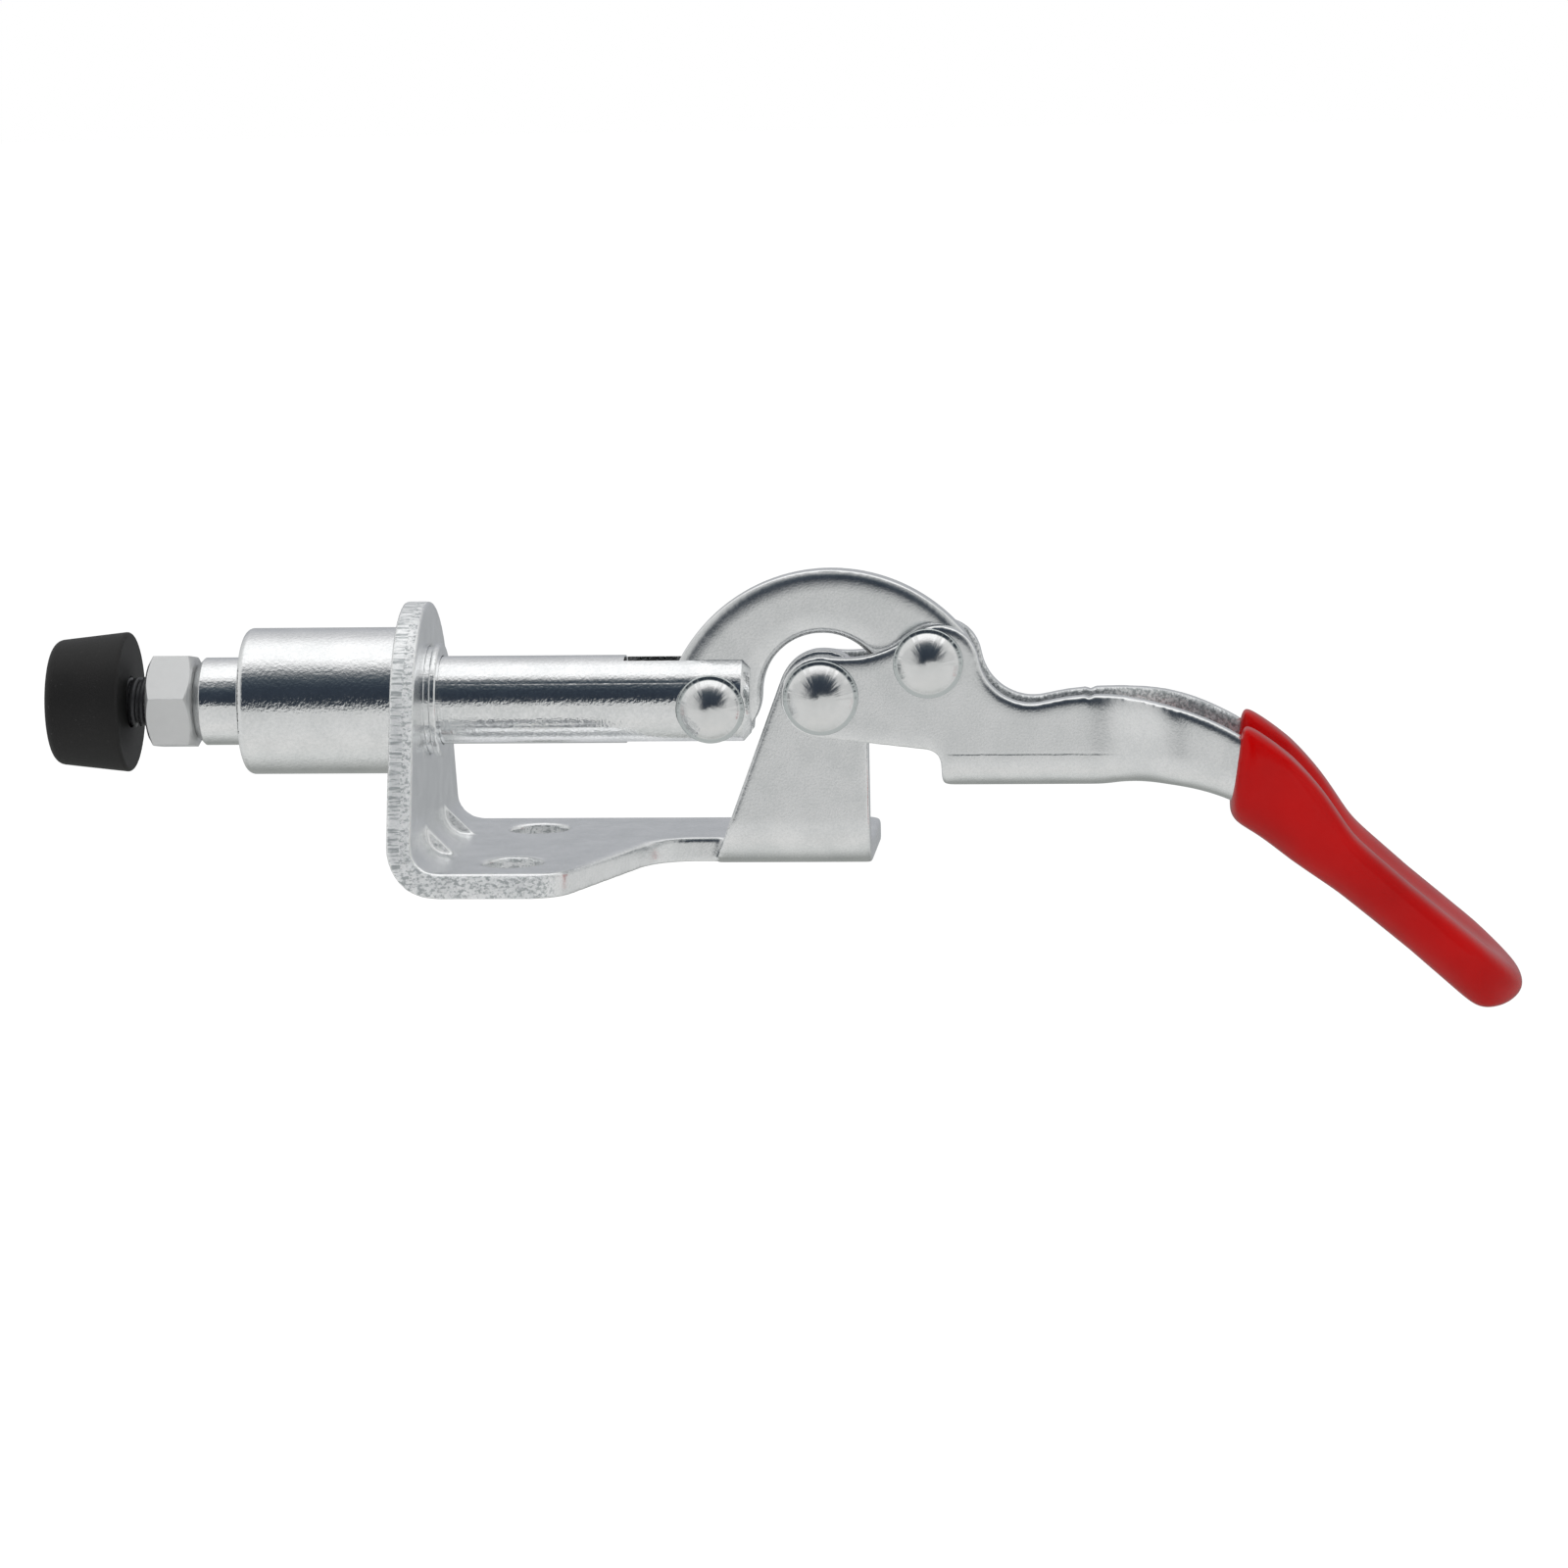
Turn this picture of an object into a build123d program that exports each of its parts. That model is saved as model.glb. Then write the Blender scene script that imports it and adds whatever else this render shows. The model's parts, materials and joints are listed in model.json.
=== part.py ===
from build123d import *
from math import asin, atan2, cos, degrees, hypot, radians, sin, sqrt, tan
import os

# Push-pull toggle clamp with a flanged base, a round plunger and a dipped handle.
# +X runs from the rubber tip to the handle and +Z is up. The origin is midway
# between the two mounting holes, on the underside of the base. Millimetres.

# base: one folded sheet
axis_height = 12.9        # plunger axis above the mounting face
base_sheet = 1.85
bend_inside = 1.9         # inside radius of both bends
base_half_width = 12.8
base_end = 26.0           # rear edge of the base
base_corner = 1.5
mount_hole = 4.5
mount_spacing = 15.0
plate_back = -6.9         # rear face of the upright plate
plate_rise = 7.4          # top of the plate above the plunger axis
plate_top_radius = 8.9
plate_taper = 18.0        # degrees, each side of the plate
waist_place = 4.0         # where the near edge of the flange turns in towards the ear
waist_angle = 70.0        # degrees
waist_outer_radius = 3.2
waist_inner_radius = 4.2
ear_foot = 14.1           # front of the ear where it leaves the bend
ear_margin = 0.25         # the ear's round top stands out beyond the handle's
dart_place = 4.65         # stiffening darts, each side of the middle
dart_reach = 2.5          # how far a dart runs from the corner of the bend
dart_half_width = 1.7
dart_root = 0.85          # how far a dart's sides run back into the bend
dart_push = 2.05          # how deep the punch dents the outside of the bend

# linkage at rest, handle pushed down
frame_pivot_x = 22.65     # handle pivot in the ear
frame_pivot_rise = 0.4    # above the plunger axis
crank_length = 8.39       # frame pivot to link pivot
crank_angle = 17.5        # degrees above the horizontal, at rest
link_length = 16.56       # link pivot to plunger pivot

# plunger, guide and spindle
plunger_diameter = 6.6
plunger_front = -24.6
plunger_tail = 2.9        # from the plunger pivot to the rear end
plunger_pivot_drop = 0.4  # the pivot lies this far under the plunger's axis
plunger_bevel = 0.6
plunger_slot = 2.5
slot_depth = 9.5          # from the rear end to the slot's floor
running_gap = 0.05        # radial, between parts that slide or turn
spindle_diameter = 3.9
spindle_travel = 6.0      # how far the tip can be screwed out
thread_kept = 7.0         # thread left in the plunger when it is right out
spindle_bevel = 0.4
barrel_diameter = 11.0
barrel_length = 12.1      # in front of the upright plate
barrel_edge = 0.6
collar_diameter = 8.1     # neck through the upright plate
collar_lip = 8.6
collar_length = 0.9
collar_groove = 0.36      # between the upright plate and the lip
collar_edge = 0.18
nut_across_flats = 6.7
nut_thickness = 3.6
nut_face = 6.1            # round face of the chamfered nut
nut_turn = 10.5           # degrees, as it happens to be tightened
nut_chamfer = 30.0        # degrees
tip_rear_diameter = 10.6
tip_front_diameter = 9.3
tip_length = 5.75
tip_gap = 1.6             # bare spindle between nut and rubber
tip_edge = 0.8
tip_rear_edge = 0.27
head_across_flats = 6.4   # spindle head inside the rubber
head_thickness = 2.2
head_cover = 1.0          # rubber behind the head

# link
link_sheet = 2.3
link_rise = 9.7           # top of the hook above the plunger axis
link_eye = 3.3            # radius round the link pivot
heel_shift = 0.15         # the hook's heel is centred behind and above the plunger pivot
heel_lift = 0.8
link_edge = 0.45
hook_gap = 1.25           # between the hook's throat and the ear

# handle
handle_sheet = 1.5
handle_gap = 2.8          # between the side plates at the pivots
tail_half_width = 5.2
flare_start = 19.6        # from the frame pivot
flare_end = 27.5
boss_radius = 3.05        # round the frame pivot
shoulder_radius = 3.0     # round the link pivot
shoulder_behind = 0.75    # the shoulder is centred behind and under the link pivot
shoulder_drop = 0.22
saddle_radius = 8.0       # between boss and shoulder
nape_radius = 3.9         # behind the shoulder
crest_radius = 19.3
crest_place = 20.95       # top of the back, from the frame pivot
crest_rise = 0.05
web_drop = 6.9            # underside of the web below the frame pivot
web_start = 8.85          # front edge of the web, from the frame pivot
web_bend = 2.3            # outside radius between web and side plates
cheek_drop = 4.1          # lower edge of the side plates at the web's start
web_hump = 0.35           # the web rises this much before it bends down
hump_radius = 9.0
bow_start = 24.2          # crown of the bend
bow_radius = 15.1
bow_angle = 39.7          # degrees
tail_run = 18.2           # straight part of the underside
tail_corner = 1.6         # under the end of the tail, in side view
tail_wall = 1.8           # height of the side walls at the end of the tail
tail_taper = 2.2          # degrees, the walls get higher towards the ramp
ramp_angle = 57.0         # degrees, where the back leaves the crest and drops to the tail
ramp_foot_radius = 3.0
cheek_radius = 1.1
web_corner = 0.5
flare_ease = 0.45         # share of the flare over which each end swings in

# grip
coat = 0.95
grip_mouth = 30.3         # front edge at web level, from the frame pivot
grip_lean = 9.0           # degrees, lean of the mouth
grip_toe = 3.5            # rubber beyond the end of the steel
toe_radius = 2.65         # under the toe, in side view
toe_top_radius = 0.8
dish_corner = 1.6

# rivets
frame_rivet = 3.4
frame_rivet_head = 5.6
link_rivet = 3.2
link_rivet_head = 5.2
plunger_rivet = 3.0
plunger_rivet_head = 5.1
head_rise = 1.45
head_rim = 0.35
rivet_seat = 0.45         # depth of the flats under the plunger rivet's heads

plate_front = plate_back - base_sheet
bend_outside = bend_inside + base_sheet
spindle_thread = thread_kept + spindle_travel
frame_pivot = Vector(frame_pivot_x, 0, axis_height + frame_pivot_rise)
link_pivot = frame_pivot + Vector(
    crank_length * cos(radians(crank_angle)), 0, crank_length * sin(radians(crank_angle))
)
pivot_level = axis_height - plunger_pivot_drop
plunger_pivot = Vector(
    link_pivot.X - sqrt(link_length**2 - (link_pivot.Z - pivot_level) ** 2), 0, pivot_level
)
plunger_rear = plunger_pivot.X + plunger_tail
ear_radius = boss_radius + ear_margin
throat_radius = ear_radius + hook_gap
nut_front = plunger_front - nut_thickness
tip_rear = nut_front - tip_gap
side_half = handle_gap / 2 + handle_sheet
heel = plunger_pivot + Vector(heel_shift, 0, heel_lift)


def flat(x, z):
    """A point of a side view, in the middle plane."""
    return Vector(x, 0, z)


def side(edges):
    """The face inside a closed outline drawn in side view."""
    return make_face(edges)


def across(face, width):
    """A side-view face given a width, evenly about the middle plane."""
    return extrude(face, width / 2, dir=(0, 1, 0), both=True)


def disc(centre, radius):
    return Plane((centre.X, 0, centre.Z), x_dir=(1, 0, 0), z_dir=(0, -1, 0)) * Circle(radius)


def cross_pin(centre, diameter, y_low, y_high):
    """A cylinder along Y."""
    start = Plane((centre.X, y_low, centre.Z), x_dir=(1, 0, 0), z_dir=(0, 1, 0))
    return extrude(start * Circle(diameter / 2), y_high - y_low)


def along_axis(x_start, x_end, diameter):
    """A cylinder on the plunger axis."""
    start = Plane((x_start, 0, axis_height), x_dir=(0, 1, 0), z_dir=(1, 0, 0))
    return extrude(start * Circle(diameter / 2), x_end - x_start)


def turned(points):
    """A body turned about the plunger axis from (x, radius) points."""
    outline = Polyline(*[flat(x, axis_height + r) for x, r in points], close=True)
    return revolve(side(outline), Axis((0, 0, axis_height), (1, 0, 0)))


def polar(centre, radius, angle):
    return centre + Vector(radius * cos(radians(angle)), 0, radius * sin(radians(angle)))


def round_corner(start, centre, end):
    """The shorter arc from start to end about a centre."""
    middle = (start - centre).normalized() + (end - centre).normalized()
    return ThreePointArc(start, centre + middle.normalized() * (start - centre).length, end)


def aim(start, end):
    """The direction of a line in side view, in degrees."""
    return degrees(atan2(end.Z - start.Z, end.X - start.X))


def circles_meet(a, radius_a, b, radius_b):
    """The upper point that lies at both distances."""
    span = hypot(b.X - a.X, b.Z - a.Z)
    along = (span**2 + radius_a**2 - radius_b**2) / (2 * span)
    height = sqrt(radius_a**2 - along**2)
    line = aim(a, b)
    return polar(polar(a, along, line), height, line + 90)


def line_leaves_disc(point, angle, centre, radius):
    """Where a line through the point, going at an angle, leaves a disc."""
    away = point - centre
    along = Vector(cos(radians(angle)), 0, sin(radians(angle)))
    nearest = away.dot(along)
    depth = sqrt(nearest**2 - away.dot(away) + radius**2)
    return point + along * (depth - nearest)


def rounded(face, corners, radius):
    """The face with the corners nearest to the given points rounded."""
    picked = [min(face.vertices(), key=lambda v: (Vector(*v) - c).length) for c in corners]
    return fillet(picked, radius)


def rims_of(body, diameter):
    """The circular edges of one diameter, from front to back."""
    circles = body.edges().filter_by(GeomType.CIRCLE)
    return circles.filter_by(lambda e: abs(e.radius - diameter / 2) < 0.001).sort_by(Axis.X)


# base bracket
def upright_outline():
    """The upright plate and its bend, seen along the plunger axis."""
    centre = axis_height + plate_rise - plate_top_radius
    lean = radians(plate_taper)
    edge_y = plate_top_radius * cos(lean)
    edge_z = centre + plate_top_radius * sin(lean)
    foot_z = edge_z - (base_half_width - edge_y) / tan(lean)
    left, right = [
        [Vector(0, s * edge_y, edge_z), Vector(0, s * base_half_width, foot_z)] for s in (-1, 1)
    ]
    bottom = [Vector(0, s * base_half_width, 0) for s in (1, -1)]
    top = ThreePointArc(left[0], Vector(0, 0, centre + plate_top_radius), right[0])
    rest = Polyline(right[0], right[1], *bottom, left[1], left[0])
    return make_face(top + rest)


def flange_outline():
    """The flange seen from above, up to the start of the ear's bend."""
    ear_side = bend_outside - base_sheet / 2
    waist_end = waist_place + (ear_side + base_half_width) / tan(radians(waist_angle))
    turn_in = Vector(waist_place, -base_half_width, 0)
    turn_out = Vector(waist_end, ear_side, 0)
    corner = Vector(base_end, base_half_width, 0)
    face = make_face(
        Polyline(
            Vector(plate_front, -base_half_width, 0),
            turn_in,
            turn_out,
            Vector(base_end, ear_side, 0),
            corner,
            Vector(plate_front, base_half_width, 0),
            close=True,
        )
    )
    face = rounded(face, [turn_in], waist_outer_radius)
    face = rounded(face, [turn_out], waist_inner_radius)
    return rounded(face, [corner], base_corner)


def bent_strip():
    """The upright plate, front bend and flange, seen from the side."""
    top = axis_height + plate_rise
    bend = flat(plate_back + bend_inside, bend_outside)
    inside = flat(bend.X, base_sheet)
    outside = flat(bend.X, 0)
    outline = (
        round_corner(flat(plate_back, bend_outside), bend, inside)
        + Polyline(inside, flat(base_end, base_sheet), flat(base_end, 0), outside)
        + round_corner(outside, bend, flat(plate_front, bend_outside))
        + Polyline(
            flat(plate_front, bend_outside),
            flat(plate_front, top),
            flat(plate_back, top),
            flat(plate_back, bend_outside),
        )
    )
    return across(side(outline), 2 * base_half_width)


def ear_outline():
    """The ear in side view: a slanted front, a round top and a steep back."""
    foot_front = flat(ear_foot, 0)
    foot_rear = flat(base_end, 0)
    parts = []
    for foot, turn in ((foot_front, 1), (foot_rear, -1)):
        span = hypot(foot.X - frame_pivot.X, foot.Z - frame_pivot.Z)
        swing = degrees(atan2(sqrt(span**2 - ear_radius**2), ear_radius))
        parts.append(polar(frame_pivot, ear_radius, aim(frame_pivot, foot) - turn * swing))
    top = ThreePointArc(parts[0], polar(frame_pivot, ear_radius, 90), parts[1])
    rest = Polyline(parts[1], foot_rear, foot_front, parts[0])
    return side(top + rest)


def dart(side_y, depth):
    """A four-faced wedge across the bend; pushed in by depth it is the dent outside."""
    corner_x, corner_z = plate_back, base_sheet
    ridge_top = Vector(corner_x, side_y, corner_z + dart_reach)
    ridge_end = Vector(corner_x + dart_reach, side_y, corner_z)
    near = Vector(corner_x - dart_root, side_y - dart_half_width, corner_z - dart_root)
    far = Vector(corner_x - dart_root, side_y + dart_half_width, corner_z - dart_root)
    faces = [
        make_face(Polyline(a, b, c, close=True))
        for a, b, c in (
            (ridge_top, ridge_end, near),
            (ridge_top, far, ridge_end),
            (ridge_top, near, far),
            (ridge_end, far, near),
        )
    ]
    wedge = Solid(Shell(faces))
    return Pos(-depth, 0, -depth) * wedge


def base_bracket():
    strip = bent_strip()
    upright = extrude(upright_outline(), base_end - plate_front + 1, dir=(1, 0, 0))
    upright = Pos(plate_front - 0.5, 0, 0) * upright
    flange = extrude(flange_outline(), axis_height + plate_rise + 1, dir=(0, 0, 1))
    strip = strip & upright & flange
    # the ear rises from the flange round a bend of its own
    half = base_sheet / 2
    top = axis_height + 3 * ear_radius
    bend = Vector(0, bend_outside - half, bend_outside)
    flat_top, flat_low = Vector(0, bend.Y, base_sheet), Vector(0, bend.Y, 0)
    near, far = Vector(0, -half, bend_outside), Vector(0, half, bend_outside)
    section = (
        Line(flat_top, flat_low)
        + round_corner(flat_low, bend, near)
        + Polyline(near, Vector(0, -half, top), Vector(0, half, top), far)
        + round_corner(far, bend, flat_top)
    )
    ear_strip = extrude(make_face(section), base_end, dir=(1, 0, 0))
    ear = ear_strip & across(ear_outline(), 4 * bend_outside)
    body = strip + ear
    for place in (-dart_place, dart_place):
        body += dart(place, 0)
        body -= dart(place, dart_push)
    body -= cross_pin(frame_pivot, frame_rivet + 2 * running_gap, -bend_outside, bend_outside)
    body -= along_axis(plate_front - 1, plate_back + 1, collar_diameter)
    for place in (-mount_spacing / 2, mount_spacing / 2):
        body -= Pos(0, place, base_sheet / 2) * Cylinder(mount_hole / 2, 2 * base_sheet)
    return body


# guide, plunger and spindle
def guide_barrel():
    lip_start = plate_back + collar_groove
    lip_end = plate_back + collar_length
    bore = plunger_diameter / 2 + running_gap
    start = plate_front - barrel_length
    body = turned(
        [
            (start, bore),
            (start, barrel_diameter / 2),
            (plate_front, barrel_diameter / 2),
            (plate_front, collar_diameter / 2),
            (lip_start, collar_diameter / 2),
            (lip_start, collar_lip / 2),
            (lip_end, collar_lip / 2),
            (lip_end, bore),
        ]
    )
    body = fillet(rims_of(body, barrel_diameter)[:1], barrel_edge)
    return fillet(rims_of(body, collar_lip), collar_edge)


def plunger():
    radius = plunger_diameter / 2
    body = turned(
        [
            (plunger_front, 0),
            (plunger_front, radius - plunger_bevel),
            (plunger_front + plunger_bevel, radius),
            (plunger_rear - plunger_bevel, radius),
            (plunger_rear, radius - plunger_bevel),
            (plunger_rear, 0),
        ]
    )
    slot = Box(slot_depth, plunger_slot, 2 * plunger_diameter, align=(Align.MAX, Align.CENTER, Align.CENTER))
    body -= Pos(plunger_rear, 0, axis_height) * slot
    body -= along_axis(
        plunger_front - 1, plunger_front + spindle_thread + 1, spindle_diameter + 2 * running_gap
    )
    seat = radius - rivet_seat
    for sign in (-1, 1):
        near, far = sorted((sign * seat, sign * plunger_diameter))
        body -= cross_pin(plunger_pivot, plunger_rivet_head, near, far)
    return body - cross_pin(plunger_pivot, plunger_rivet, -plunger_diameter, plunger_diameter)


def lock_nut():
    corner = nut_across_flats / sqrt(3)
    start = Plane((nut_front, 0, axis_height), x_dir=(0, 1, 0), z_dir=(1, 0, 0))
    blank = extrude(start * Rot(0, 0, -nut_turn) * RegularPolygon(corner, 6), nut_thickness)
    drop = (corner - nut_face / 2) * tan(radians(nut_chamfer))
    chamfered = turned(
        [
            (nut_front, 0),
            (nut_front, nut_face / 2),
            (nut_front + drop, corner),
            (plunger_front - drop, corner),
            (plunger_front, nut_face / 2),
            (plunger_front, 0),
        ]
    )
    return (blank & chamfered) - along_axis(
        nut_front - 1, plunger_front + 1, spindle_diameter + 2 * running_gap
    )


def spindle():
    head_front = tip_rear - head_cover - head_thickness
    head = Plane((head_front, 0, axis_height), x_dir=(0, 1, 0), z_dir=(1, 0, 0))
    head = extrude(head * RegularPolygon(head_across_flats / sqrt(3), 6), head_thickness)
    shank = along_axis(head_front + head_thickness / 2, plunger_front + spindle_thread, spindle_diameter)
    shank = chamfer(shank.edges().sort_by(Axis.X)[-1], spindle_bevel)
    return head + shank


def rubber_tip():
    body = turned(
        [
            (tip_rear - tip_length, 0),
            (tip_rear - tip_length, tip_front_diameter / 2),
            (tip_rear, tip_rear_diameter / 2),
            (tip_rear, 0),
        ]
    )
    rims = body.edges().filter_by(GeomType.CIRCLE).sort_by(Axis.X)
    body = fillet(rims[0], tip_edge)
    rear_rim = body.edges().filter_by(GeomType.CIRCLE).sort_by(Axis.X)[-1]
    body = fillet(rear_rim, tip_rear_edge)
    return body - spindle()


# link
def hook_face():
    """The hook: one outer arc that wraps both eyes, and a throat round the ear."""
    heel_radius = hypot(heel.X - frame_pivot.X, heel.Z - frame_pivot.Z) - throat_radius
    low, high = link_rise / 2, 10 * link_rise
    for _ in range(60):  # the radius at which the arc touches both eyes at this rise
        radius = (low + high) / 2
        top = axis_height + link_rise - radius
        spans = []
        for pivot, eye in ((heel, heel_radius), (link_pivot, link_eye)):
            spans.append(sqrt(max((radius - eye) ** 2 - (top - pivot.Z) ** 2, 0)))
        if sum(spans) > link_pivot.X - heel.X:
            high = radius
        else:
            low = radius
    centre = flat(heel.X + spans[0], top)
    reach = 3 * radius
    window = Polyline(
        heel,
        frame_pivot,
        link_pivot,
        polar(centre, reach, aim(centre, link_pivot)),
        polar(centre, reach, 90),
        polar(centre, reach, aim(centre, heel)),
        close=True,
    )
    face = disc(centre, radius) & side(window)
    face = face + disc(heel, heel_radius) + disc(link_pivot, link_eye)
    return face - disc(frame_pivot, throat_radius)


def toggle_link():
    body = across(hook_face(), link_sheet)
    rims = body.edges().filter_by(lambda e: abs(abs(e.center().Y) - link_sheet / 2) < 0.001)
    body = fillet(rims, link_edge)
    body -= cross_pin(link_pivot, link_rivet + 2 * running_gap, -link_sheet, link_sheet)
    return body - cross_pin(plunger_pivot, plunger_rivet + 2 * running_gap, -link_sheet, link_sheet)


# handle
shoulder = link_pivot + Vector(shoulder_behind, 0, -shoulder_drop)
crest = frame_pivot + Vector(crest_place, 0, crest_rise - crest_radius)
bow = frame_pivot + Vector(bow_start, 0, web_hump - web_drop - bow_radius)
hump_rise = bow_radius + hump_radius - web_hump
hump = Vector(
    bow.X - sqrt((bow_radius + hump_radius) ** 2 - hump_rise**2), 0, bow.Z + hump_rise
)


def underside(inset):
    """The underside, inset: start of the hump, crown of the bow, start and end of the tail."""
    hump_start = flat(hump.X, hump.Z - hump_radius + inset)
    crossing = polar(hump, hump_radius - inset, aim(hump, bow))
    turn_end = polar(bow, bow_radius + inset, 90 - bow_angle)
    return hump_start, crossing, turn_end, polar(turn_end, tail_run, -bow_angle)


def web_line(inset):
    """The inset underside from the hump's start to the tail's start, as two tangent arcs."""
    hump_start, crossing, turn_end, tail_end = underside(inset)
    return round_corner(hump_start, hump, crossing) + round_corner(crossing, bow, turn_end)


def lines_meet(a, angle_a, b, angle_b):
    """Where two lines of a side view cross, each given by a point and an angle."""
    gap = b - a
    turn = radians(angle_b - angle_a)
    reach = (gap.X * sin(radians(angle_b)) - gap.Z * cos(radians(angle_b))) / sin(turn)
    return polar(a, reach, angle_a)


def back_of_tail(grow, beyond):
    """The handle's upper outline behind the crest, grown outwards: ramp, wall and end."""
    wall_angle = -bow_angle - tail_taper
    steel_end = underside(0)[3]
    wall_top = polar(polar(steel_end, tail_wall, 90 - bow_angle), grow, wall_angle + 90)
    low_end = polar(underside(-grow)[3], beyond, -bow_angle)
    wall_end = lines_meet(wall_top, wall_angle, low_end, 90 - bow_angle)
    ramp_top = polar(crest, crest_radius + grow, 90 - ramp_angle)
    ramp_foot = lines_meet(ramp_top, -ramp_angle, wall_top, wall_angle)
    return ramp_top, ramp_foot, wall_end, low_end


def handle_profile():
    """The whole handle in side view."""
    saddle = circles_meet(
        frame_pivot, boss_radius + saddle_radius, shoulder, shoulder_radius + saddle_radius
    )
    nape = circles_meet(shoulder, shoulder_radius + nape_radius, crest, crest_radius + nape_radius)
    hump_start, crossing, turn_end, tail_end = underside(0)
    web_front = flat(frame_pivot.X + web_start, hump_start.Z)
    cheek = flat(frame_pivot.X + web_start, frame_pivot.Z - cheek_drop)
    span = hypot(cheek.X - frame_pivot.X, cheek.Z - frame_pivot.Z)
    swing = degrees(atan2(sqrt(span**2 - boss_radius**2), boss_radius))
    boss_low = polar(frame_pivot, boss_radius, aim(frame_pivot, cheek) - swing)
    boss_high = polar(frame_pivot, boss_radius, aim(frame_pivot, saddle))
    shoulder_front = polar(shoulder, shoulder_radius, aim(shoulder, saddle))
    shoulder_rear = polar(shoulder, shoulder_radius, aim(shoulder, nape))
    crest_front = polar(crest, crest_radius, aim(crest, nape))
    ramp_top, ramp_foot, wall_end, low_end = back_of_tail(0, 0)
    outline = (
        ThreePointArc(boss_low, polar(frame_pivot, boss_radius, 180), boss_high)
        + round_corner(boss_high, saddle, shoulder_front)
        + round_corner(shoulder_front, shoulder, shoulder_rear)
        + round_corner(shoulder_rear, nape, crest_front)
        + round_corner(crest_front, crest, ramp_top)
        + Polyline(ramp_top, ramp_foot, wall_end, tail_end, turn_end)
        + web_line(0)
        + Polyline(hump_start, web_front, cheek, boss_low)
    )
    face = side(outline)
    face = rounded(face, [ramp_foot], ramp_foot_radius)
    face = rounded(face, [cheek], cheek_radius)
    face = rounded(face, [tail_end], tail_corner)
    return rounded(face, [web_front], web_corner)


def plan(inset):
    """A prism of the handle seen from above: narrow at the pivots, flared to the tail."""
    narrow, wide = side_half - inset, tail_half_width - inset
    start, stop = frame_pivot.X + flare_start, frame_pivot.X + flare_end
    swing = (stop - start) * flare_ease
    front = frame_pivot.X - 2 * boss_radius - 2 * crank_length
    end = stop + 2 * tail_run
    sides = []
    for sign in (-1, 1):
        sides.append(Line((front, sign * narrow), (start, sign * narrow)))
        sides.append(
            Bezier(
                (start, sign * narrow),
                (start + swing, sign * narrow),
                (stop - swing, sign * wide),
                (stop, sign * wide),
            )
        )
        sides.append(Line((stop, sign * wide), (end, sign * wide)))
    face = make_face(sides + [Line((front, -narrow), (front, narrow)), Line((end, -wide), (end, wide))])
    depth = 2 * (tail_run + bow_radius) + web_drop
    return extrude(Pos(0, 0, frame_pivot.Z - depth) * face, 2 * depth)


def trough(inset, corner, flared=True):
    """All the space above the underside, inset from it and from the sides."""
    hump_start, crossing, turn_end, tail_end = underside(inset)
    far = polar(turn_end, 2 * tail_run, -bow_angle)
    front = flat(frame_pivot.X - 2 * boss_radius, hump_start.Z)
    high = frame_pivot.Z + 3 * crank_length
    outline = (
        Line(front, hump_start)
        + web_line(inset)
        + Polyline(turn_end, far, flat(far.X, high), flat(front.X, high), front)
    )
    space = across(side(outline), 2 * (tail_half_width - inset))
    if flared:
        space = space & plan(inset)
    low_edges = []
    for face in space.faces():
        if face.normal_at(face.center()).Z < -0.4:
            low_edges += [e for e in face.edges() if abs((e % 0.5).Y) < 0.7]
    return fillet(low_edges, corner)


def tail_tip(half_width, beyond):
    """A prism square to the tail with a round end, for trimming the tail."""
    run = Vector(cos(radians(bow_angle)), 0, -sin(radians(bow_angle)))
    rise = Vector(sin(radians(bow_angle)), 0, cos(radians(bow_angle)))
    end = underside(0)[3] + run * beyond
    plane = Plane(end, x_dir=run, z_dir=rise)
    length = 4 * (tail_run + bow_start)
    face = Pos(-half_width, 0) * (
        Circle(half_width) + Rectangle(length, 2 * half_width, align=(Align.MAX, Align.CENTER))
    )
    return extrude(plane * face, 2 * length, both=True)


def handle_channel():
    sheet = trough(0, web_bend) - trough(handle_sheet, web_bend - handle_sheet)
    body = sheet & across(handle_profile(), 4 * tail_half_width) & tail_tip(tail_half_width, 0)
    body -= cross_pin(frame_pivot, frame_rivet, -2 * side_half, 2 * side_half)
    return body - cross_pin(link_pivot, link_rivet, -2 * side_half, 2 * side_half)


def grip_profile():
    """The grip in side view: the tail's outline grown by the coat, from the mouth to the toe."""
    ramp_top, ramp_foot, wall_end, low_end = back_of_tail(coat, grip_toe)
    mouth = flat(frame_pivot.X + grip_mouth, bow.Z + bow_radius)
    mouth_top = line_leaves_disc(mouth, 90 - grip_lean, crest, crest_radius + coat)
    mouth_low = polar(mouth, bow_radius, -90 - grip_lean)
    outline = (
        round_corner(mouth_top, crest, ramp_top)
        + Polyline(ramp_top, ramp_foot, wall_end, low_end, underside(-coat)[2], mouth_low, mouth_top)
    )
    face = side(outline)
    face = rounded(face, [ramp_foot], ramp_foot_radius - coat)
    face = rounded(face, [low_end], toe_radius)
    return rounded(face, [wall_end], toe_top_radius)


def grip():
    blank = trough(-coat, web_bend + coat) & across(grip_profile(), 4 * tail_half_width)
    blank = blank & tail_tip(tail_half_width + coat, grip_toe)
    inset = handle_sheet + coat
    dish = trough(inset, dish_corner, flared=False) & tail_tip(tail_half_width - inset, 0)
    return blank - dish - handle_channel()


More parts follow.
